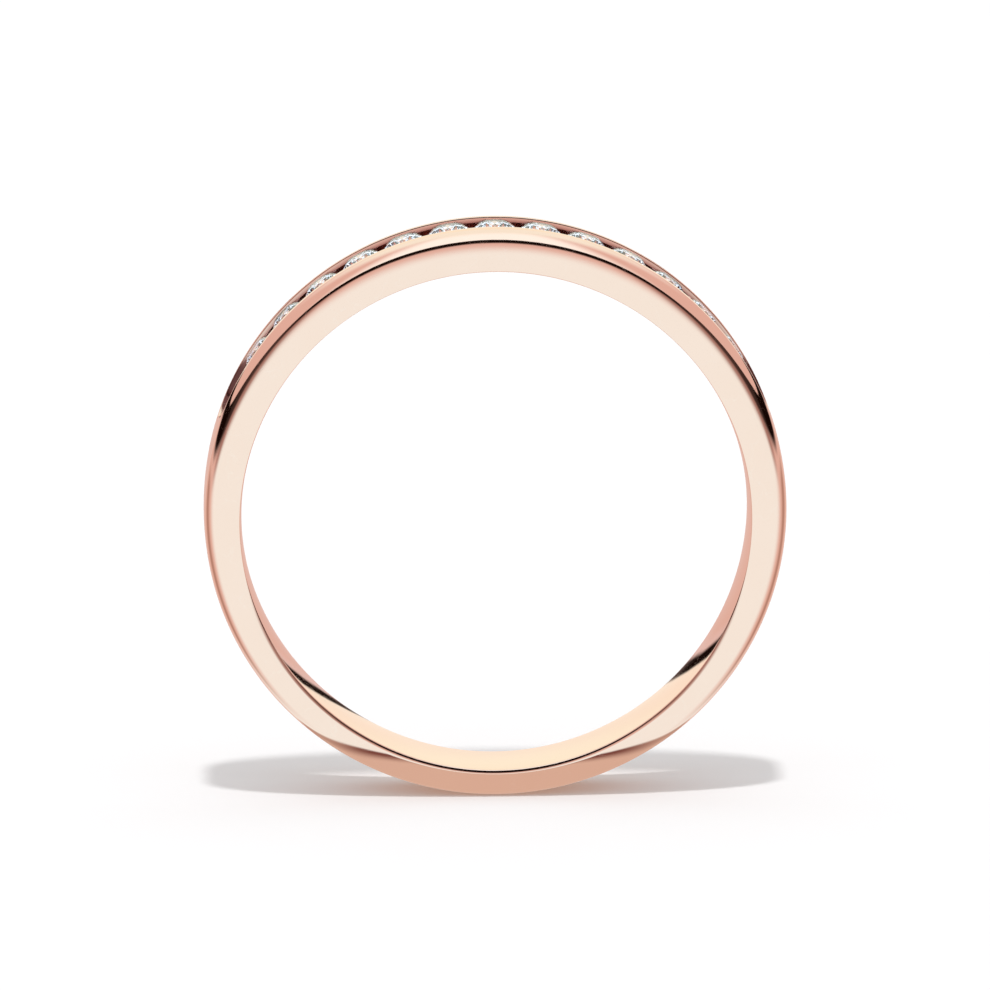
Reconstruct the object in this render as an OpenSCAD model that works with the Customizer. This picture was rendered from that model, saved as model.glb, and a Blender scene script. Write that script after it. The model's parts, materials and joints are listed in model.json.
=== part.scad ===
// Channel-set half-eternity wedding band, in millimetres.
// The origin is the centre of the finger hole, Y runs along the finger, and +Z passes through the middle stone.

/* [Finger hole] */
// Inside diameter of the band
bore_d = 17.2; // [15:0.1:21]
// Length of the straight wall in the middle of the hole
straight_wall = 1.4; // [1:0.1:1.6]
// How much the hole's radius opens from the straight wall to its edges, for comfort
comfort_rise = 0.05; // [0.02:0.01:0.1]
// Height of the small bevel round each inner edge
inner_bevel_h = 0.1; // [0.05:0.01:0.12]
// Width of that bevel along the finger
inner_bevel_w = 0.03; // [0.02:0.005:0.06]

/* [Band] */
// Metal thickness over the middle stone
top_thickness = 1.54; // [1.4:0.02:1.8]
// Metal thickness under the finger
bottom_thickness = 1.02; // [0.9:0.02:1.3]
// Width of the band over the middle stone
top_width = 2.75; // [2.6:0.05:3.2]
// Width of the band under the finger
bottom_width = 2.55; // [2.4:0.05:2.6]
// Height of the plain side above the finger hole, over the middle stone
side_height = 0.75; // [0.5:0.05:0.9]
// Width of the rounded shoulder between the side and the crown
shoulder_width = 0.44; // [0.36:0.02:0.44]

/* [Stones] */
// Number of stones in the row
stone_count = 13; // [5:2:13]
// Diameter of each stone
stone_d = 1.42; // [1.3:0.02:1.44]
// Gap between two stones at their girdles
stone_gap = 0.15; // [0.1:0.01:0.2]
// Depth of each table below the crests of the rails
table_depth = 0.03; // [0:0.01:0.1]

/* [Channel] */
// Opening between the crests of the two rails
crest_opening = 1.86; // [1.7:0.02:1.86]
// Width of the lower channel, whose walls grip the stones
channel_width = 1.34; // [1.2:0.02:1.34]
// Depth of the bright-cut ledge along each rail
ledge_depth = 0.16; // [0.1:0.01:0.18]
// Depth of the channel floor below the crests
channel_depth = 0.5; // [0.4:0.02:0.6]
// Angle over which each end of the channel climbs to the crown
run_out_turn = 11.1; // [6:0.1:12]
// Diameter of the light hole under each stone
light_hole_d = 0.7; // [0.5:0.05:0.8]

/* [Hidden] */
$fn = 96;

bore_r = bore_d / 2;
outer_r = bore_r + (top_thickness + bottom_thickness) / 2;
rise = (top_thickness - bottom_thickness) / 2;
mean_width = (top_width + bottom_width) / 2;
taper = atan((top_width - bottom_width) / (4 * outer_r));
side_r = outer_r - (top_thickness - side_height);
side_y = mean_width / 2;
crown_y = side_y - shoulder_width;
shoulder_h = outer_r - side_r;
shoulder_steps = 8;
margin = 2;
overlap = 0.3;
run_on = 1.2;
run_out_step = 0.03;
last_stone_turn = 4.8;

// Proportions of a round brilliant, as fractions of its diameter
table_ratio = 0.57;
girdle_ratio = 0.03;
star_ratio = 0.5;
lower_half_ratio = 0.23;
crown_angle = 34.5;
pavilion_angle = 40.75;
facet_turn = 45;
seat_gap = 0.01;

stone_r = stone_d / 2;
crown_h = stone_r * (1 - table_ratio) * tan(crown_angle);
girdle_h = stone_d * girdle_ratio;
girdle_r = outer_r - table_depth - crown_h;
stone_pitch = 2 * asin((stone_d + stone_gap) / (2 * girdle_r));

run_out_start = stone_pitch * (stone_count - 1) / 2 + last_stone_turn;
floor_r = outer_r - channel_depth;
floor_w = channel_width / 2;
crest_w = crest_opening / 2;

function polar(r, a, z) = [r * cos(a), r * sin(a), z];

// Height of the crown's main facet plane at a point on the half-turn line between two main facets
function crown_z(r) = (stone_r - r * cos(facet_turn / 2)) * tan(crown_angle);
function pavilion_z(r) = -girdle_h - (stone_r - r * cos(facet_turn / 2)) * tan(pavilion_angle);

table_r = stone_r * table_ratio;
star_r = table_r * cos(facet_turn / 2) + star_ratio * (stone_r - table_r * cos(facet_turn / 2));
lower_r = stone_r * lower_half_ratio;
culet_z = -girdle_h - stone_r * tan(pavilion_angle);

brilliant_points = [
    for (i = [0:7]) polar(table_r, i * facet_turn, crown_h),
    for (i = [0:7]) polar(star_r, (i + 0.5) * facet_turn, crown_z(star_r)),
    for (i = [0:15]) polar(stone_r, i * facet_turn / 2, 0),
    for (i = [0:15]) polar(stone_r, i * facet_turn / 2, -girdle_h),
    for (i = [0:7]) polar(lower_r, (i + 0.5) * facet_turn, pavilion_z(lower_r)),
    [0, 0, culet_z]
];

// Index of point i on each ring of the brilliant
function table_i(i) = i % 8;
function star_i(i) = 8 + (i + 8) % 8;
function girdle_i(i) = 16 + (i + 16) % 16;
function lower_girdle_i(i) = 32 + (i + 16) % 16;
function lower_i(i) = 48 + (i + 8) % 8;
culet_i = 56;

brilliant_faces = [
    [for (i = [7:-1:0]) table_i(i)],
    for (i = [0:7]) [table_i(i), table_i(i + 1), star_i(i)],
    for (i = [0:7]) [table_i(i), star_i(i), girdle_i(2 * i), star_i(i - 1)],
    for (i = [0:7]) [star_i(i), girdle_i(2 * i + 1), girdle_i(2 * i)],
    for (i = [0:7]) [star_i(i), girdle_i(2 * i + 2), girdle_i(2 * i + 1)],
    for (i = [0:15]) [girdle_i(i), girdle_i(i + 1), lower_girdle_i(i + 1), lower_girdle_i(i)],
    for (i = [0:7]) [lower_i(i), lower_girdle_i(2 * i), lower_girdle_i(2 * i + 1)],
    for (i = [0:7]) [lower_i(i), lower_girdle_i(2 * i + 1), lower_girdle_i(2 * i + 2)],
    for (i = [0:7]) [culet_i, lower_i(i - 1), lower_girdle_i(2 * i), lower_i(i)]
];

// Puts its children at a stone's place: +Z outwards, with the girdle's top edge at the origin
module at_stone(number) {
    turn = stone_pitch * (number - (stone_count + 1) / 2);
    translate([0, 0, rise])
        rotate([0, turn, 0])
            translate([0, 0, girdle_r])
                children();
}

// A hoop turned about Y from an outline of [radius, y] points
module hoop(outline) {
    rotate([-90, 0, 0])
        rotate_extrude()
            polygon(outline);
}

// One side of the blank: a disc with a rounded shoulder on its +Y side, leaned over by the taper.
// The shoulder's last slope runs on past the crown, so that the crown's cylinder cuts it cleanly.
module side_disc() {
    last = 90 / shoulder_steps;
    over_y = shoulder_width * sin(last);
    over_r = shoulder_h * (1 - cos(last));
    translate([0, 0, rise])
        rotate([-taper, 0, 0])
            hoop([
                [0, -margin],
                [outer_r + over_r, -margin],
                [outer_r + over_r, crown_y - over_y],
                for (i = [shoulder_steps - 1:-1:0])
                    let (a = i * last)
                        [side_r + shoulder_h * sin(a), crown_y + shoulder_width * cos(a)],
                [0, side_y]
            ]);
}

// The whole blank: the crown's cylinder between the two sides
module blank() {
    intersection() {
        translate([0, 0, rise])
            rotate([90, 0, 0])
                cylinder(h = top_width + 2 * margin, r = outer_r, center = true);
        side_disc();
        mirror([0, 1, 0]) side_disc();
    }
}

// What opens one end of the hole: a gentle cone from the straight wall to the edge, then the small bevel.
// Both slopes run on past the metal, so that the hole's wall and the side are cut cleanly.
module hole_end_cut() {
    edge_y = side_y - rise * sin(taper);
    foot_y = edge_y - inner_bevel_w;
    rotate([-taper, 0, 0])
        hoop([
            [bore_r - comfort_rise, straight_wall - foot_y],
            [bore_r + comfort_rise, foot_y],
            [bore_r + comfort_rise + inner_bevel_h * run_on, foot_y + inner_bevel_w * run_on],
            [bore_r - comfort_rise, foot_y + margin]
        ]);
}

// The stretch of channel that holds the stones, an arc about the middle of the crown
module channel_arc() {
    translate([0, 0, rise])
        rotate([90, run_out_start - 90, 0])
            rotate_extrude(angle = 2 * run_out_start)
                polygon([
                    [floor_r, -floor_w],
                    [outer_r - ledge_depth, -floor_w],
                    [outer_r - ledge_depth, -crest_w],
                    [outer_r + margin, -crest_w],
                    [outer_r + margin, crest_w],
                    [outer_r - ledge_depth, crest_w],
                    [outer_r - ledge_depth, floor_w],
                    [floor_r, floor_w]
                ]);
}

// One end of the channel, where its floor climbs to the crown. It starts inside the channel and stays
// clear of its floor and walls by a small step, and its slope runs on past the crown.
module run_out() {
    length = outer_r * sin(run_out_turn);
    start_r = floor_r + run_out_step;
    climb = outer_r * cos(run_out_turn) - start_r;
    top_r = outer_r + margin;
    translate([0, 0, rise])
        rotate([0, run_out_start, 0])
            rotate([90, 0, 0])
                linear_extrude(height = crest_opening - 2 * run_out_step, center = true)
                    polygon([
                        [-overlap, start_r],
                        [0, start_r],
                        [length * run_on, start_r + climb * run_on],
                        [length * run_on, top_r],
                        [-overlap, top_r]
                    ]);
}

// Room for one stone: its light hole, its seat, the groove for its girdle and the space over its crown
module seat() {
    hole_r = light_hole_d / 2;
    hole_end = -top_thickness - overlap;
    groove_r = stone_r + seat_gap;
    hole_z = -girdle_h - (stone_r - hole_r) * tan(pavilion_angle) - seat_gap;
    rotate_extrude()
        polygon([
            [0, hole_end],
            [hole_r, hole_end],
            [hole_r, hole_z],
            [groove_r, -girdle_h - seat_gap],
            [groove_r, seat_gap],
            [table_r + seat_gap, crown_h + seat_gap],
            [0, crown_h + seat_gap]
        ]);
}

module band() {
    color([0.92, 0.66, 0.56])
        difference() {
            blank();
            rotate([90, 0, 0])
                cylinder(h = top_width + 2 * margin, r = bore_r, center = true);
            hole_end_cut();
            mirror([0, 1, 0]) hole_end_cut();
            channel_arc();
            run_out();
            mirror([1, 0, 0]) run_out();
            for (number = [1:stone_count]) at_stone(number) seat();
        }
}

module stone(number) {
    color([0.93, 0.96, 0.98])
        at_stone(number)
            polyhedron(points = brilliant_points, faces = brilliant_faces);
}

band();
for (number = [1:stone_count])
    stone(number);
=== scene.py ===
"""Channel-set half-eternity wedding band in rose gold, standing on its edge on a pale floor."""
import json
import math

import bmesh
import bpy
from mathutils import Matrix, Vector


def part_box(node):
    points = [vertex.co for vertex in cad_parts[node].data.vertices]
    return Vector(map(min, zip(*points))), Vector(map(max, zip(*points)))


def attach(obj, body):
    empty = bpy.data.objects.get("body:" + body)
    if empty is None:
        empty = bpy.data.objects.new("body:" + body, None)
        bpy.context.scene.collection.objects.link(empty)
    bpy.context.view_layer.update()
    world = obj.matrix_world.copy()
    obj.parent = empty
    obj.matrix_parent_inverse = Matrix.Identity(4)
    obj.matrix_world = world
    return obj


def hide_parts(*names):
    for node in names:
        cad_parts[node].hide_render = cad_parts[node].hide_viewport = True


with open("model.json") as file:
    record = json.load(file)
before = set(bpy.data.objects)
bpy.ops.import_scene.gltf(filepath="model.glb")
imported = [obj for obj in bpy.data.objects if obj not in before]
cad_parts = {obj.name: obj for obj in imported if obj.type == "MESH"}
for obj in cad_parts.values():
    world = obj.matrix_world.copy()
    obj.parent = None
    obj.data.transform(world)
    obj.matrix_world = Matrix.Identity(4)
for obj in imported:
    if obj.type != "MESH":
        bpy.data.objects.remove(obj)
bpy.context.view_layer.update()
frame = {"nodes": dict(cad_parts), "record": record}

MM = 0.001
BODY = "root"

# The band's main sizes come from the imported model.
BAND_LOW, BAND_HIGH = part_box("band")
BORE_R = frame["record"]["mounts"][0]["dims"]["r_mm"] * MM
OUTER_R = (BAND_HIGH.x - BAND_LOW.x) / 2
RISE = OUTER_R + BAND_LOW.z
FLOOR_Z = BAND_LOW.z

# The band's cross-section, in metres.
MEAN_WIDTH = 2.65 * MM
TAPER_WIDTH = 0.1 * MM
COMFORT_RISE = 0.05 * MM
INNER_BEVEL_H = 0.11 * MM
INNER_BEVEL_FLATTEST = math.tan(math.radians(12))
INNER_BEVEL_STEEPEST = math.tan(math.radians(18))
INNER_BEVEL_W = INNER_BEVEL_H * (INNER_BEVEL_FLATTEST + INNER_BEVEL_STEEPEST) / 2
INNER_EDGE_R = 0.035 * MM
SHOULDER_WIDTH = 0.44 * MM
SHOULDER_POWER = 2.5
CROWN_BULGE = 0.02 * MM

# The channel and its stones.
STONE_NAMES = sorted(name for name in frame["nodes"] if name.startswith("stone_"))
STONE_R = 0.71 * MM
STONE_GAP = 0.15 * MM
TABLE_DEPTH = 0.03 * MM
CREST_W = 0.93 * MM
CREST_LIP_R = 0.03 * MM
CREST_LEAN = 0.031 * MM
WALL_W = 0.67 * MM
LEDGE_DEPTH = 0.2 * MM
LEDGE_RISE = 0.04 * MM
CHANNEL_DEPTH = 0.5 * MM
LIGHT_HOLE_R = 0.35 * MM
LIGHT_HOLE_REACH = 1.8 * MM
SEAT_GAP = 0.01 * MM
LAST_STONE_TURN = math.radians(4.8)
RUN_OUT_TURN = math.radians(11.1)
NARROWEST_TIP = 0.15

# Proportions of a round brilliant.
TABLE_RATIO = 0.57
GIRDLE_RATIO = 0.03
STAR_RATIO = 0.5
LOWER_HALF_RATIO = 0.23
CROWN_ANGLE = math.radians(34.5)
PAVILION_ANGLE = math.radians(40.75)
FACET_TURN = math.radians(45)
CROWN_H = STONE_R * (1 - TABLE_RATIO) * math.tan(CROWN_ANGLE)
GIRDLE_H = 2 * STONE_R * GIRDLE_RATIO
GIRDLE_R = OUTER_R - TABLE_DEPTH - CROWN_H
GIRDLE_SEGMENTS = 64
CUT_TOLERANCE = 1e-9
MERGE_DISTANCE = 1e-8

# The row of stones, and where the channel starts and stops climbing to the crown.
STONE_PITCH = 2 * math.asin((2 * STONE_R + STONE_GAP) / (2 * GIRDLE_R))
RUN_OUT_START = STONE_PITCH * (len(STONE_NAMES) - 1) / 2 + LAST_STONE_TURN
RUN_OUT_END = RUN_OUT_START + RUN_OUT_TURN

# How finely the band is meshed, and the clearance that keeps its outline in order.
TURN_STEPS = 480
SEAT_SEGMENTS = 64
SHARP_ANGLE = math.radians(28)
LEAST_GAP = 0.01 * MM


def lerp(a, b, t):
    return a + (b - a) * t


def finished_mesh(bm, name):
    """Turns an edited mesh into mesh data, and frees it."""
    mesh = bpy.data.meshes.new(name)
    bm.to_mesh(mesh)
    bm.free()
    return mesh


def new_object(name, mesh):
    obj = bpy.data.objects.new(name, mesh)
    bpy.context.scene.collection.objects.link(obj)
    return obj


# ---------------------------------------------------------------- the band

def wall_radius(turn, share):
    """Distance from the crown's centre to the finger hole's wall, along a turn from the top.

    The hole is narrowest midway across the band, and opens by COMFORT_RISE towards its edges.
    """
    hole_r = BORE_R + COMFORT_RISE * share ** 2
    return -RISE * math.cos(turn) + math.sqrt(hole_r ** 2 - (RISE * math.sin(turn)) ** 2)


def side_y(turn):
    """Half the band's width at a turn from the top: the band narrows under the finger."""
    return (MEAN_WIDTH + TAPER_WIDTH * math.cos(turn)) / 2


def channel_depth(turn):
    """Depth of the channel floor: level under the stones, then a straight climb to the crown."""
    past = abs(turn) - RUN_OUT_START
    span = RUN_OUT_END - RUN_OUT_START
    if past <= 0:
        return CHANNEL_DEPTH
    if past >= span:
        return 0.0
    floor_r = OUTER_R - CHANNEL_DEPTH
    climb_r = floor_r * OUTER_R * math.sin(span)
    climb_r /= floor_r * math.sin(past) + OUTER_R * math.sin(span - past)
    return OUTER_R - climb_r


def channel_narrowing(turn):
    """The channel's width at a turn, as a share of its full width: its ends are rounded."""
    past = (abs(turn) - RUN_OUT_START) / (RUN_OUT_END - RUN_OUT_START)
    if past <= 0:
        return 1.0
    return math.sqrt(max(1 - min(past, 1.0) ** 4, NARROWEST_TIP))


def crown_height(y, edge):
    """How far the crown stands below its highest circle at a distance y from the middle."""
    return CROWN_BULGE * (y / edge) ** 2


def inner_bevel(hole_r, edge):
    """The shallow, slightly rounded bevel from the hole's wall out to the side."""
    points = []
    steps = 9
    round_steps = 5
    for i in range(round_steps):
        a = math.radians(68) * i / round_steps
        y = edge - INNER_BEVEL_W - INNER_EDGE_R * (1 - math.sin(a))
        points.append((hole_r + INNER_EDGE_R * (1 - math.cos(a)), y))
    for i in range(steps):
        share = i / steps
        left = 1 - share
        r = hole_r + lerp(INNER_EDGE_R, INNER_EDGE_R + INNER_BEVEL_H, share)
        bend = (INNER_BEVEL_STEEPEST - INNER_BEVEL_FLATTEST) / 2
        points.append((r, edge - INNER_BEVEL_H * (INNER_BEVEL_FLATTEST * left + bend * left ** 2)))
    return points


def half_profile(turn):
    """Points (radius from the crown's centre, y) from the middle of the hole's wall round to the crown's."""
    edge = side_y(turn)
    points = []
    wall_steps = 10
    wall_end = edge - INNER_BEVEL_W - INNER_EDGE_R
    for i in range(wall_steps):
        share = i / wall_steps
        points.append((wall_radius(turn, share), wall_end * share))
    hole_r = wall_radius(turn, 1)
    points += inner_bevel(hole_r, edge)
    shoulder_steps = 36
    foot_r = hole_r + INNER_EDGE_R + INNER_BEVEL_H
    crown_y = edge - SHOULDER_WIDTH
    top_r = OUTER_R - crown_height(crown_y, crown_y)
    power = 2 / SHOULDER_POWER
    for i in range(shoulder_steps + 1):
        a = math.pi / 2 * i / shoulder_steps
        r = foot_r + (top_r - foot_r) * math.sin(a) ** power
        points.append((r, edge - SHOULDER_WIDTH * (1 - math.cos(a) ** power)))
    narrowing = channel_narrowing(turn)
    depth = channel_depth(turn)
    crest = min(CREST_W * narrowing, crown_y - LEAST_GAP)
    crown_steps = 5
    for i in range(1, crown_steps + 1):
        y = lerp(crown_y, crest, i / crown_steps)
        points.append((OUTER_R - crown_height(y, crown_y), y))
    crest_r = OUTER_R - crown_height(crest, crown_y)
    points += channel_profile(crest, crest_r, depth, WALL_W * narrowing, crown_y)
    return points


def channel_profile(crest, crest_r, depth, wall, crown_y):
    """The steep upper wall, the ledge, the lower wall and the floor, from the crest to the middle."""
    points = []
    lip_steps = 4
    upper_steps = 4
    ledge_steps = 3
    lower_steps = 4
    floor_steps = 5
    ledge = min(LEDGE_DEPTH, depth)
    lean = CREST_LEAN * ledge / LEDGE_DEPTH
    lip = min(CREST_LIP_R, ledge / 2)
    for i in range(1, lip_steps + 1):
        a = math.radians(78) * i / lip_steps
        points.append((crest_r - lip * (1 - math.cos(a)), crest - lip * math.sin(a)))
    lip_foot_r, lip_foot_y = points[-1]
    upper_foot = lip_foot_y - lean
    for i in range(1, upper_steps + 1):
        t = i / upper_steps
        points.append((lerp(lip_foot_r, crest_r - ledge, t), lerp(lip_foot_y, upper_foot, t)))
    inner = min(wall, upper_foot - LEAST_GAP)
    floor = OUTER_R - depth
    ledge_r = crest_r - ledge
    lip_r = ledge_r + LEDGE_RISE * min(max(depth - LEDGE_DEPTH, 0) / LEDGE_RISE, 1)
    for i in range(1, ledge_steps + 1):
        t = i / ledge_steps
        points.append((lerp(ledge_r, lip_r, t), lerp(upper_foot, inner, t)))
    for i in range(1, lower_steps + 1):
        points.append((lerp(lip_r, min(lip_r, floor), i / lower_steps), inner))
    for i in range(1, floor_steps + 1):
        y = inner * (1 - i / floor_steps)
        level = min(lip_r, floor) if depth > 0 else OUTER_R - crown_height(y, crown_y)
        points.append((level, y))
    return points


def band_mesh():
    """The band without its stone seats, as rings of points joined round the finger."""
    bm = bmesh.new()
    rings = []
    for step in range(TURN_STEPS):
        turn = -math.pi + 2 * math.pi * step / TURN_STEPS
        half = half_profile(turn)
        outline = half + [(r, -y) for r, y in reversed(half[1:-1])]
        ring = []
        for r, y in outline:
            ring.append(bm.verts.new((r * math.sin(turn), y, RISE + r * math.cos(turn))))
        rings.append(ring)
    for step in range(TURN_STEPS):
        ring = rings[step]
        following = rings[(step + 1) % TURN_STEPS]
        for i in range(len(ring)):
            j = (i + 1) % len(ring)
            bm.faces.new((ring[i], ring[j], following[j], following[i]))
    bmesh.ops.recalc_face_normals(bm, faces=bm.faces)
    return finished_mesh(bm, "band_metal")


def stone_place(name):
    """Matrix that puts a stone, or a seat, in place: +Z outwards, the girdle's top edge at the origin."""
    number = int(name.split("_")[1])
    turn = STONE_PITCH * (number - (len(STONE_NAMES) + 1) / 2)
    return (Matrix.Translation((0, 0, RISE)) @ Matrix.Rotation(turn, 4, "Y")
            @ Matrix.Translation((0, 0, GIRDLE_R)))


def seat_cutters():
    """One mesh that holds every stone's seat, girdle groove and light hole."""
    hole_z = -GIRDLE_H - (STONE_R - LIGHT_HOLE_R) * math.tan(PAVILION_ANGLE) - SEAT_GAP
    groove_r = STONE_R + SEAT_GAP
    table_r = STONE_R * TABLE_RATIO + SEAT_GAP
    outline = [
        (LIGHT_HOLE_R, -LIGHT_HOLE_REACH),
        (LIGHT_HOLE_R, hole_z),
        (groove_r, -GIRDLE_H - SEAT_GAP),
        (groove_r, SEAT_GAP),
        (table_r, CROWN_H + SEAT_GAP),
        (table_r, CROWN_H + 4 * SEAT_GAP),
    ]
    bm = bmesh.new()
    for name in STONE_NAMES:
        place = stone_place(name)
        rings = []
        for r, z in outline:
            ring = []
            for i in range(SEAT_SEGMENTS):
                a = 2 * math.pi * i / SEAT_SEGMENTS
                ring.append(bm.verts.new(place @ Vector((r * math.cos(a), r * math.sin(a), z))))
            rings.append(ring)
        for lower, upper in zip(rings, rings[1:]):
            for i in range(SEAT_SEGMENTS):
                j = (i + 1) % SEAT_SEGMENTS
                bm.faces.new((lower[i], lower[j], upper[j], upper[i]))
        bm.faces.new(list(reversed(rings[0])))
        bm.faces.new(rings[-1])
    bmesh.ops.recalc_face_normals(bm, faces=bm.faces)
    return finished_mesh(bm, "seat_cutters")


def apply_modifiers(obj):
    """Keeps the mesh that the object's modifiers make, and drops the modifiers."""
    graph = bpy.context.evaluated_depsgraph_get()
    mesh = bpy.data.meshes.new_from_object(obj.evaluated_get(graph))
    obj.modifiers.clear()
    obj.data = mesh


def make_band(metal):
    """The band's mesh with its seats cut out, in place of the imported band."""
    band = new_object("band_metal", band_mesh())
    cutters = new_object("seat_cutters", seat_cutters())
    cut = band.modifiers.new("seats", "BOOLEAN")
    cut.operation = "DIFFERENCE"
    cut.solver = "EXACT"
    cut.object = cutters
    apply_modifiers(band)
    bpy.data.objects.remove(cutters)
    for face in band.data.polygons:
        face.use_smooth = True
    band.data.set_sharp_from_angle(angle=SHARP_ANGLE)
    band.data.materials.clear()
    band.data.materials.append(metal)
    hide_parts("band")
    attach(band, BODY)


# ---------------------------------------------------------------- the stones

def polar(r, turn, z):
    return Vector((r * math.cos(turn), r * math.sin(turn), z))


def facet_planes():
    """Three points on each facet's plane, counted from the girdle's top edge at z = 0."""
    half = FACET_TURN / 2
    crown = math.tan(CROWN_ANGLE)
    pavilion = math.tan(PAVILION_ANGLE)
    table_r = STONE_R * TABLE_RATIO
    table_edge = table_r * math.cos(half)
    star_r = lerp(table_edge, STONE_R, STAR_RATIO)
    star_z = (STONE_R - star_r * math.cos(half)) * crown
    lower_r = STONE_R * LOWER_HALF_RATIO
    lower_z = -GIRDLE_H - (STONE_R - lower_r * math.cos(half)) * pavilion
    culet = Vector((0, 0, -GIRDLE_H - STONE_R * pavilion))
    planes = []
    for i in range(8):
        main = i * FACET_TURN
        left = main + half
        right = main - half
        star = polar(star_r, left, star_z)
        lower = polar(lower_r, left, lower_z)
        planes.append((polar(table_r, main, CROWN_H), star, polar(star_r, right, star_z)))
        planes.append((polar(table_r, main, CROWN_H), polar(table_r, main + FACET_TURN, CROWN_H), star))
        planes.append((culet, lower, polar(lower_r, right, lower_z)))
        for turn in (main, main + FACET_TURN):
            planes.append((star, polar(STONE_R, left, 0), polar(STONE_R, turn, 0)))
            planes.append((lower, polar(STONE_R, left, -GIRDLE_H), polar(STONE_R, turn, -GIRDLE_H)))
    return planes


def brilliant_mesh():
    """A round brilliant: a cylinder with a table, cut by the planes of its facets."""
    bottom = -GIRDLE_H - STONE_R * math.tan(PAVILION_ANGLE)
    bm = bmesh.new()
    bmesh.ops.create_cone(bm, cap_ends=True, segments=GIRDLE_SEGMENTS, radius1=STONE_R, radius2=STONE_R,
                          depth=CROWN_H - bottom)
    bmesh.ops.translate(bm, verts=bm.verts, vec=(0, 0, (CROWN_H + bottom) / 2))
    middle = Vector((0, 0, -GIRDLE_H / 2))
    for a, b, c in facet_planes():
        normal = (b - a).cross(c - a).normalized()
        if normal.dot(a - middle) < 0:
            normal = -normal
        geometry = bm.verts[:] + bm.edges[:] + bm.faces[:]
        cut = bmesh.ops.bisect_plane(bm, geom=geometry, dist=CUT_TOLERANCE, plane_co=a, plane_no=normal,
                                     clear_outer=True)
        edges = [item for item in cut["geom_cut"] if isinstance(item, bmesh.types.BMEdge)]
        open_edges = [edge for edge in edges if len(edge.link_faces) == 1]
        if len(open_edges) > 2:
            bmesh.ops.contextual_create(bm, geom=open_edges)
    bmesh.ops.remove_doubles(bm, verts=bm.verts, dist=MERGE_DISTANCE)
    bmesh.ops.recalc_face_normals(bm, faces=bm.faces)
    return finished_mesh(bm, "brilliant")


def make_stones(crystal):
    """A copy of the brilliant in each seat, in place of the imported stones."""
    template = brilliant_mesh()
    for name in STONE_NAMES:
        mesh = template.copy()
        mesh.transform(stone_place(name))
        mesh.materials.clear()
        mesh.materials.append(crystal)
        stone = new_object(name + "_cut", mesh)
        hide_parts(name)
        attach(stone, BODY)


# ---------------------------------------------------------------- materials

GOLD_LIGHT = (0.94, 0.675, 0.565)
GOLD_DEEP = (0.925, 0.65, 0.535)
GOLD_WORN = (0.95, 0.72, 0.62)
# Painted shade: the next two colours darken the metal in the channel's recesses and, darker still, at its
# ends.
GOLD_RECESS_SHADE = (0.46, 0.2, 0.17)
GOLD_END_SHADE = (0.13, 0.045, 0.04)

# Polishing lines run round the hoop, hairlines cross it and patches drift over it, all per millimetre.
POLISH_LINES_PER_MM = 14.0
POLISH_STRETCH = 3.0
POLISH_DEPTH = 0.0004 * MM
BUMP_STRENGTH = 0.35
HAIRLINES_PER_MM = 0.55
HAIR_STRETCH = 5.0
HAIR_WIDTH = 0.006
HAIR_TINT = 0.35
HAIR_DEPTH = 0.8
PATCHES_PER_MM = 0.6

# The roughness of the best polish, and what the lines, patches, hairlines and channel add to it.
ROUGH_LEAST = 0.022
ROUGH_LINES = 0.03
ROUGH_PATCHES = 0.02
ROUGH_HAIR = 0.06
ROUGH_RECESS = 0.12

# The channel's painted shade: the depths below the crown, in millimetres, where it starts and is full,
# and the turns over which it deepens and fades at the channel's ends.
SHADE_START = 0.01
SHADE_DEPTH = 0.26
END_SHADE_DEPTH = 0.05
END_SHADE_LEAD = math.radians(6)
END_FADE_START = math.radians(4)
END_FADE_STOP = math.radians(1.5)

STONE_COOL = (0.93, 0.97, 1.0)
STONE_WHITE = (1.0, 1.0, 1.0)
STONE_DRIFT_PER_MM = 1.3
STONE_ROUGHNESS = 0.01
DIAMOND_IOR = 2.417


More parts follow.
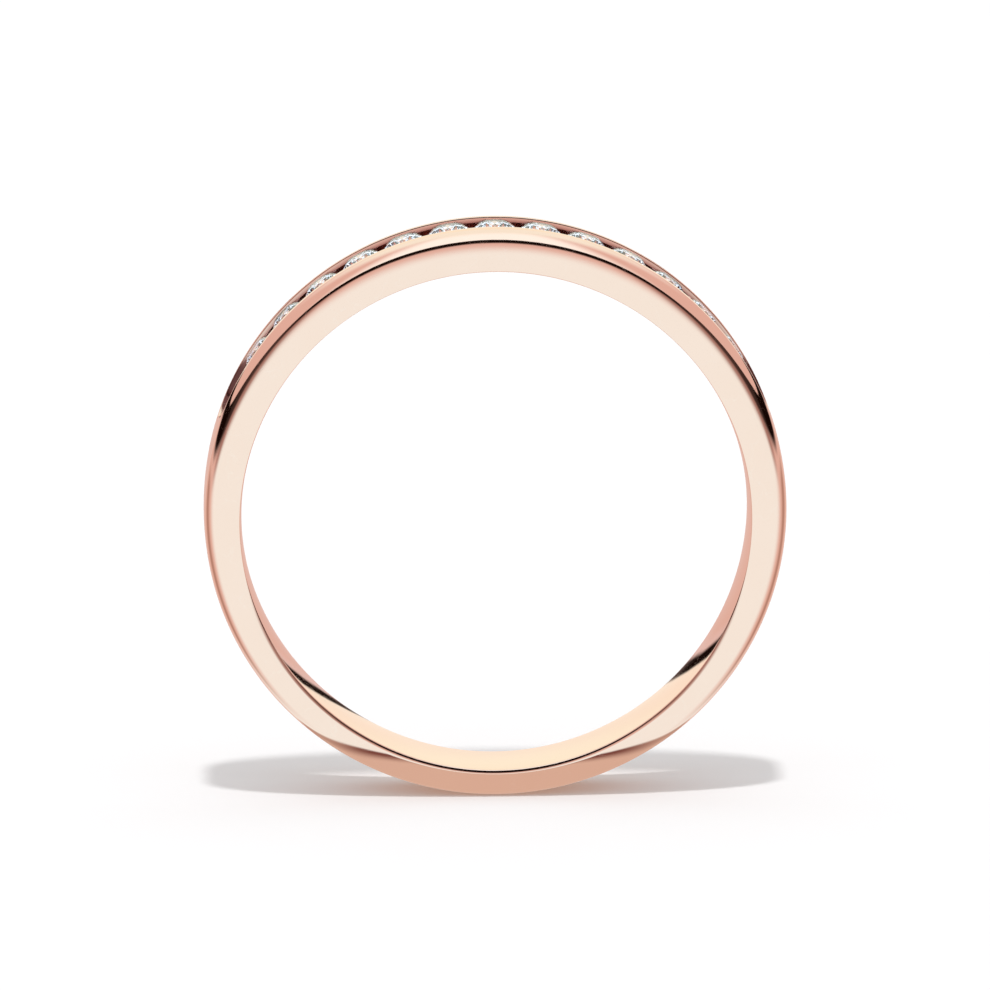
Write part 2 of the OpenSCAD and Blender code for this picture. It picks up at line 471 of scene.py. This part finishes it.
class Nodes:
    """Short calls that add and join shader nodes in one tree."""

    def __init__(self, tree):
        self.tree = tree

    def add(self, kind, **values):
        node = self.tree.nodes.new(kind)
        for name, value in values.items():
            setattr(node, name, value)
        return node

    def put(self, socket, value):
        if isinstance(value, bpy.types.NodeSocket):
            self.tree.links.new(value, socket)
        elif isinstance(value, tuple):
            socket.default_value = (*value, 1) if len(value) == 3 else value
        else:
            socket.default_value = value

    def math(self, operation, a, b=0.0, c=0.0):
        node = self.add("ShaderNodeMath", operation=operation)
        for socket, value in zip(node.inputs, (a, b, c)):
            self.put(socket, value)
        return node.outputs[0]

    def mix(self, share, a, b):
        node = self.add("ShaderNodeMix", data_type="RGBA")
        self.put(node.inputs["Factor"], share)
        self.put(node.inputs["A"], a)
        self.put(node.inputs["B"], b)
        return node.outputs["Result"]

    def separate(self, vector):
        """The x, y and z of a vector."""
        node = self.add("ShaderNodeSeparateXYZ")
        self.put(node.inputs[0], vector)
        return node.outputs

    def place_in_mm(self):
        """The x, y and z of the shaded point, in millimetres in the part's own frame."""
        place = self.add("ShaderNodeTexCoord").outputs["Object"]
        return [self.math("DIVIDE", part, MM) for part in self.separate(place)]

    def distance(self, a, b):
        """The length of the sides a and b taken together."""
        return self.math("SQRT", self.math("ADD", self.math("POWER", a, 2.0), self.math("POWER", b, 2.0)))

    def vector(self, x, y, z):
        node = self.add("ShaderNodeCombineXYZ")
        for socket, value in zip(node.inputs, (x, y, z)):
            self.put(socket, value)
        return node.outputs[0]

    def noise(self, place, scale, detail):
        """Smooth noise from 0 to 1."""
        node = self.add("ShaderNodeTexNoise")
        self.put(node.inputs["Vector"], place)
        node.inputs["Scale"].default_value = scale
        node.inputs["Detail"].default_value = detail
        return node.outputs[0]

    def step(self, value, low, high):
        """Climbs smoothly from 0 at low to 1 at high."""
        node = self.add("ShaderNodeMapRange", interpolation_type="SMOOTHSTEP")
        self.put(node.inputs["Value"], value)
        self.put(node.inputs["From Min"], low)
        self.put(node.inputs["From Max"], high)
        return node.outputs["Result"]

    def curve(self, value, points):
        """Reads a value off the straight lines through points (in, out)."""
        node = self.add("ShaderNodeFloatCurve")
        low = min(y for x, y in points)
        high = max(y for x, y in points)
        first, last = points[0][0], points[-1][0]
        line = node.mapping.curves[0]
        places = [((x - first) / (last - first), (y - low) / (high - low)) for x, y in points]
        line.points[0].location = places[0]
        line.points[1].location = places[-1]
        for place in places[1:-1]:
            line.points.new(*place)
        for point in line.points:
            point.handle_type = "AUTO_CLAMPED"
        node.mapping.update()
        span = self.math("DIVIDE", self.math("SUBTRACT", value, first), last - first)
        self.put(node.inputs["Value"], span)
        return self.math("MULTIPLY_ADD", node.outputs[0], high - low, low)


def new_material(name):
    material = bpy.data.materials.new(name)
    material.use_nodes = True
    tree = material.node_tree
    return material, tree, tree.nodes["Principled BSDF"]


def channel_painted_shade(nodes, x, y, z, turn):
    """Painted shade: where the metal lies inside the channel, and where inside one of its ends, from 0 to 1.
    """
    crown_r = nodes.distance(x, nodes.math("SUBTRACT", z, RISE / MM))
    below_crown = nodes.math("SUBTRACT", OUTER_R / MM, crown_r)
    inside = nodes.step(nodes.math("ABSOLUTE", y), CREST_W / MM, (CREST_W - CREST_LIP_R) / MM)
    above_floor = nodes.step(below_crown, CHANNEL_DEPTH / MM + 0.15, CHANNEL_DEPTH / MM + 0.05)
    from_top = nodes.math("ABSOLUTE", turn)
    end_starts = nodes.step(from_top, RUN_OUT_START - END_SHADE_LEAD, RUN_OUT_START)
    end_fades = nodes.step(from_top, RUN_OUT_END - END_FADE_START, RUN_OUT_END - END_FADE_STOP)
    painted_end_shade = nodes.math("SUBTRACT", end_starts, end_fades)
    full_depth = nodes.math("MULTIPLY_ADD", painted_end_shade, END_SHADE_DEPTH - SHADE_DEPTH, SHADE_DEPTH)
    shade = nodes.step(below_crown, SHADE_START, full_depth)
    painted_recess_shade = nodes.math("MULTIPLY", nodes.math("MULTIPLY", inside, above_floor), shade)
    return painted_recess_shade, nodes.math("MULTIPLY", painted_recess_shade, painted_end_shade)


def rose_gold():
    """Mirror-polished rose gold, with polishing lines round the hoop, hairline wear, a drift of tint and
    painted shade in the channel.
    """
    material, tree, shader = new_material("rose_gold")
    nodes = Nodes(tree)
    x, y, z = nodes.place_in_mm()
    turn = nodes.math("ARCTAN2", x, z)
    along = nodes.vector(nodes.math("MULTIPLY", turn, POLISH_STRETCH), y, nodes.distance(x, z))
    lines = nodes.noise(along, POLISH_LINES_PER_MM, 3.0)
    hairs = nodes.noise(nodes.vector(x, nodes.math("MULTIPLY", y, HAIR_STRETCH), z), HAIRLINES_PER_MM, 4.0)
    hair = nodes.step(nodes.math("ABSOLUTE", nodes.math("SUBTRACT", hairs, 0.5)), HAIR_WIDTH, 0.0)
    patches = nodes.noise(nodes.vector(x, y, z), PATCHES_PER_MM, 2.0)
    painted_recess_shade, painted_end_shade = channel_painted_shade(nodes, x, y, z, turn)

    tint = nodes.mix(patches, GOLD_DEEP, GOLD_LIGHT)
    # Painted shade: the channel's recesses, and its ends most of all, are darkened in the colour.
    tint = nodes.mix(painted_recess_shade, tint, GOLD_RECESS_SHADE)
    tint = nodes.mix(painted_end_shade, tint, GOLD_END_SHADE)
    tint = nodes.mix(nodes.math("MULTIPLY", hair, HAIR_TINT), tint, GOLD_WORN)
    nodes.put(shader.inputs["Base Color"], tint)
    polish = nodes.math("MULTIPLY_ADD", lines, ROUGH_LINES, ROUGH_LEAST)
    smear = nodes.math("MULTIPLY_ADD", patches, ROUGH_PATCHES, polish)
    worn = nodes.math("MULTIPLY_ADD", hair, ROUGH_HAIR, smear)
    nodes.put(shader.inputs["Roughness"], nodes.math("MULTIPLY_ADD", painted_recess_shade, ROUGH_RECESS, worn))
    relief = nodes.math("SUBTRACT", lines, nodes.math("MULTIPLY", hair, HAIR_DEPTH))
    bump = nodes.add("ShaderNodeBump")
    bump.inputs["Strength"].default_value = BUMP_STRENGTH
    bump.inputs["Distance"].default_value = POLISH_DEPTH
    nodes.put(bump.inputs["Height"], relief)
    nodes.put(shader.inputs["Normal"], bump.outputs[0])
    shader.inputs["Metallic"].default_value = 1.0
    return material


def clear_stone():
    """A polished colourless stone, with a faint drift of tint and of polish between its facets."""
    material, tree, shader = new_material("clear_stone")
    nodes = Nodes(tree)
    drift = nodes.noise(nodes.vector(*nodes.place_in_mm()), STONE_DRIFT_PER_MM, 2.0)
    nodes.put(shader.inputs["Base Color"], nodes.mix(drift, STONE_COOL, STONE_WHITE))
    nodes.put(shader.inputs["Roughness"], nodes.math("MULTIPLY", drift, STONE_ROUGHNESS))
    shader.inputs["IOR"].default_value = DIAMOND_IOR
    shader.inputs["Transmission Weight"].default_value = 1.0
    return material


# ---------------------------------------------------------------- studio and camera

FLOOR_R = 2.0
FLOOR_WHITE = (0.85, 0.85, 0.85, 1)


def make_floor():
    """A wide matt disc under the ring, left out of the metal's reflections."""
    bm = bmesh.new()
    bmesh.ops.create_circle(bm, cap_ends=True, segments=128, radius=FLOOR_R)
    bmesh.ops.translate(bm, verts=bm.verts, vec=(0, 0, FLOOR_Z))
    mesh = finished_mesh(bm, "floor")
    floor = new_object("floor", mesh)
    material, tree, shader = new_material("floor_white")
    shader.inputs["Base Color"].default_value = FLOOR_WHITE
    shader.inputs["Roughness"].default_value = 0.9
    shader.inputs["Specular IOR Level"].default_value = 0.0
    mesh.materials.append(material)
    floor.visible_glossy = False


# The studio's colours as the gold sees them, and the sky as the stones see it.
PALE = (0.99, 1.18, 1.22)
BRIGHT = (1.15, 1.32, 1.36)
OVERHEAD = (1.02, 1.16, 1.09)
PINK = (0.81, 0.61, 0.57)
BLACK = (0.008, 0.003, 0.002)
FLANK_BROWN = (0.5, 0.33, 0.28)
FRONT_BROWN = (0.3, 0.16, 0.14)
BACK_LOW = (1.03, 0.98, 0.85)
BACK_HIGH = (1.06, 1.14, 0.98)
BACK_PINK = (0.79, 0.54, 0.47)
STONE_HIGH = (2.6, 2.85, 3.35)
STONE_LOW = (1.8, 1.97, 2.3)
STONE_DARK = (0.72, 0.8, 0.95)
FILL = (0.82, 0.82, 0.83)
WHITE = (1.0, 1.0, 1.0)

# The dark horizon round the studio, as (side angle, value) in degrees: its upper edge, where it is fully
# dark, how far it fades and then blushes under that, and how dark it gets, from 0 to 1.
HORIZON_TOP = [(0, 20.8), (15, 19), (30, 12.5), (60, 10), (90, 13), (120, 15), (150, 3), (162, 2),
               (168, 0), (174, -4), (180, -7)]
HORIZON_FULL = [(0, 14.4), (15, 13.2), (30, 8), (60, 1), (90, 4), (120, 7), (150, 0), (162, -0.3),
                (168, -2.2), (174, -5.6), (180, -8)]
HORIZON_FADE = [(0, 3.0), (15, 3.4), (30, 6), (60, 5), (120, 4), (155, 1.5), (180, 1)]
HORIZON_BLUSH = [(0, 15), (15, 13), (30, 8), (60, 6), (180, 2)]
HORIZON_DEPTH = [(0, 1), (20, 1), (30, 0.85), (42, 0.9), (60, 1), (166, 1), (174, 0.5), (180, 0)]
HORIZON_EDGE = 0.5
FRONT_WARMTH = 0.75
STONE_HORIZON = 0.8


def dark_horizon(nodes, side, height):
    """How dark the horizon is, how far it blushes pink under that, and what lies over it, at a direction."""
    top = nodes.curve(side, HORIZON_TOP)
    full = nodes.curve(side, HORIZON_FULL)
    fade = nodes.curve(side, HORIZON_FADE)
    blush = nodes.curve(side, HORIZON_BLUSH)
    depth = nodes.curve(side, HORIZON_DEPTH)
    dark_start = nodes.math("SUBTRACT", full, fade)
    darkness = nodes.math("MULTIPLY", nodes.step(height, dark_start, full), depth)
    pinkness = nodes.step(height, nodes.math("SUBTRACT", dark_start, blush), dark_start)
    low_edge = nodes.math("SUBTRACT", top, HORIZON_EDGE)
    high_edge = nodes.math("ADD", top, HORIZON_EDGE)
    return darkness, pinkness, nodes.step(height, low_edge, high_edge)


def rest_of(nodes, share):
    """The rest of a share, from 1 to 0."""
    return nodes.math("SUBTRACT", 1.0, share)


def studio_below(nodes, side, height, darkness, pinkness):
    """The studio under its horizon's upper edge: pale in front, pink and brown at the flanks and the back."""
    before_back = rest_of(nodes, nodes.step(side, 120.0, 150.0))
    flank = nodes.math("MULTIPLY", nodes.step(side, 35.0, 60.0), before_back)
    low_flank = nodes.math("MULTIPLY", flank, nodes.step(height, -60.0, -30.0))
    dip = nodes.math("MULTIPLY", nodes.step(side, 56.0, 76.0), rest_of(nodes, nodes.step(side, 82.0, 108.0)))
    dip = nodes.math("MULTIPLY", dip, nodes.step(height, -60.0, -35.0))
    below = nodes.mix(nodes.step(side, 120.0, 160.0), PALE, BACK_PINK)
    below = nodes.mix(low_flank, below, PINK)
    below = nodes.mix(dip, below, FLANK_BROWN)
    beside_front = nodes.math("SUBTRACT", nodes.step(side, 11.0, 20.0), nodes.step(side, 42.0, 58.0))
    warm = nodes.mix(nodes.math("MULTIPLY", beside_front, FRONT_WARMTH), PINK, FRONT_BROWN)
    below = nodes.mix(pinkness, below, warm)
    return nodes.mix(darkness, below, BLACK)


def studio_above(nodes, side, height):
    """The studio over its horizon: bright in front and overhead, pink at the flanks, warmer at the back."""
    front = nodes.mix(nodes.step(height, 35.0, 60.0), BRIGHT, OVERHEAD)
    back = nodes.mix(nodes.step(height, 3.0, 21.0), BACK_LOW, BACK_HIGH)
    above = nodes.mix(nodes.step(side, 120.0, 160.0), front, back)
    before_back = rest_of(nodes, nodes.step(side, 120.0, 150.0))
    high_flank = nodes.math("MULTIPLY", nodes.step(side, 10.0, 28.0), before_back)
    high_flank = nodes.math("MULTIPLY", high_flank, rest_of(nodes, nodes.step(height, 35.0, 65.0)))
    return nodes.mix(high_flank, above, PINK)


def make_world():
    """The studio as the polished metal sees it: a dark horizon between soft boxes, over a pale floor.

    Angles are in degrees. The side angle is 0 towards the front (-Y) and 180 towards the back.
    """
    world = bpy.data.worlds.new("studio")
    bpy.context.scene.world = world
    world.use_nodes = True
    nodes = Nodes(world.node_tree)
    x, y, z = nodes.separate(nodes.add("ShaderNodeTexCoord").outputs["Generated"])
    height = nodes.math("DEGREES", nodes.math("ARCSINE", z))
    front = nodes.math("MULTIPLY", y, -1.0)
    side = nodes.math("ABSOLUTE", nodes.math("DEGREES", nodes.math("ARCTAN2", x, front)))
    darkness, pinkness, over = dark_horizon(nodes, side, height)
    below = studio_below(nodes, side, height, darkness, pinkness)
    studio = nodes.mix(over, below, studio_above(nodes, side, height))

    path = nodes.add("ShaderNodeLightPath").outputs
    stone_view = nodes.mix(over, STONE_LOW, STONE_HIGH)
    stone_view = nodes.mix(nodes.math("MULTIPLY", darkness, STONE_HORIZON), stone_view, STONE_DARK)
    studio = nodes.mix(path["Is Transmission Ray"], studio, stone_view)
    seen = nodes.mix(path["Is Diffuse Ray"], studio, FILL)
    seen = nodes.mix(path["Is Camera Ray"], seen, WHITE)
    background = world.node_tree.nodes["Background"]
    nodes.put(background.inputs["Color"], seen)


CARD_HALF_X = 8.8 * MM
CARD_DEPTH = 12.0 * MM
CARD_LIFT = 0.02 * MM
# Painted shade: the copper stands in for the floor's shade near the ring as the metal reflects it, the brown
# for the edge of the ring's shadow.
CARD_SHADE_COPPER = (0.74, 0.6, 0.52)
CARD_SHADOW_BROWN = (0.2, 0.08, 0.07)


def painted_floor_shade():
    """Painted shade for reflections: glowing copper that fades out at the card's edge, with a brown rim of
    painted shadow, darkest halfway to the side tips.
    """
    material = bpy.data.materials.new("painted_floor_shade")
    material.use_nodes = True
    tree = material.node_tree
    tree.nodes.clear()
    nodes = Nodes(tree)
    x, y, z = nodes.separate(nodes.add("ShaderNodeTexCoord").outputs["Object"])
    beside = nodes.math("ABSOLUTE", nodes.math("DIVIDE", x, CARD_HALF_X))
    before = nodes.math("ABSOLUTE", nodes.math("DIVIDE", y, CARD_DEPTH))
    out = nodes.math("ADD", beside, before)
    paler_tip = nodes.math("MULTIPLY", nodes.step(beside, 0.5, 0.8), 0.6)
    dark_part = nodes.math("SUBTRACT", nodes.step(beside, 0.2, 0.42), paler_tip)
    painted_shadow_rim = nodes.math("MULTIPLY", nodes.step(out, 0.72, 0.92), dark_part)
    glow = nodes.add("ShaderNodeEmission")
    nodes.put(glow.inputs["Color"], nodes.mix(painted_shadow_rim, CARD_SHADE_COPPER, CARD_SHADOW_BROWN))
    clear = nodes.add("ShaderNodeBsdfTransparent")
    blend = nodes.add("ShaderNodeMixShader")
    nodes.put(blend.inputs[0], nodes.step(out, 0.93, 1.0))
    tree.links.new(glow.outputs[0], blend.inputs[1])
    tree.links.new(clear.outputs[0], blend.inputs[2])
    surface = nodes.add("ShaderNodeOutputMaterial")
    tree.links.new(blend.outputs[0], surface.inputs["Surface"])
    return material


def make_card():
    """A copper lozenge on the floor under the ring, seen only in reflections: a painted reflection of the
    shaded floor near the ring, for the metal's lower front.
    """
    card_z = FLOOR_Z + CARD_LIFT
    corners = [(-CARD_HALF_X, 0), (0, -CARD_DEPTH), (CARD_HALF_X, 0), (0, CARD_DEPTH)]
    bm = bmesh.new()
    bm.faces.new([bm.verts.new((x, y, card_z)) for x, y in corners])
    mesh = finished_mesh(bm, "painted_shade_card")
    mesh.materials.append(painted_floor_shade())
    card = new_object("painted_shade_card", mesh)
    card.visible_camera = False
    card.visible_diffuse = False
    card.visible_shadow = False


SUN_RISE = math.radians(78.5)
SUN_ENERGY = 1.25
SUN_ANGLE = math.radians(4)


def make_sun():
    """One lamp high in front, for the thin ring of shadow on the floor."""
    data = bpy.data.lights.new("key", "SUN")
    data.energy = SUN_ENERGY
    data.angle = SUN_ANGLE
    sun = bpy.data.objects.new("key", data)
    bpy.context.scene.collection.objects.link(sun)
    towards = Vector((0, -math.cos(SUN_RISE), math.sin(SUN_RISE)))
    sun.rotation_euler = towards.to_track_quat("Z", "Y").to_euler()
    sun.visible_glossy = False


CAMERA_DISTANCE = 300 * MM
CAMERA_RISE = math.radians(13.125)
CAMERA_TURN = math.radians(-2.003)
CAMERA_TARGET = Vector((0.007 * MM, 0, 0.656 * MM))
CAMERA_LENS = 321.3
SENSOR_WIDTH = 36


def make_camera():
    """A long lens, a little above the ring and slightly to its left."""
    data = bpy.data.cameras.new("camera")
    data.lens = CAMERA_LENS
    data.sensor_width = SENSOR_WIDTH
    data.clip_start = 0.01
    data.clip_end = 10
    camera = bpy.data.objects.new("camera", data)
    bpy.context.scene.collection.objects.link(camera)
    back = Vector((math.sin(CAMERA_TURN) * math.cos(CAMERA_RISE),
                   -math.cos(CAMERA_TURN) * math.cos(CAMERA_RISE),
                   math.sin(CAMERA_RISE)))
    camera.location = back * CAMERA_DISTANCE
    camera.rotation_euler = (CAMERA_TARGET - camera.location).to_track_quat("-Z", "Y").to_euler()
    bpy.context.scene.camera = camera


make_camera()
make_floor()
make_world()
make_card()
make_sun()
make_band(rose_gold())
make_stones(clear_stone())
bpy.context.scene.view_settings.view_transform = "Standard"
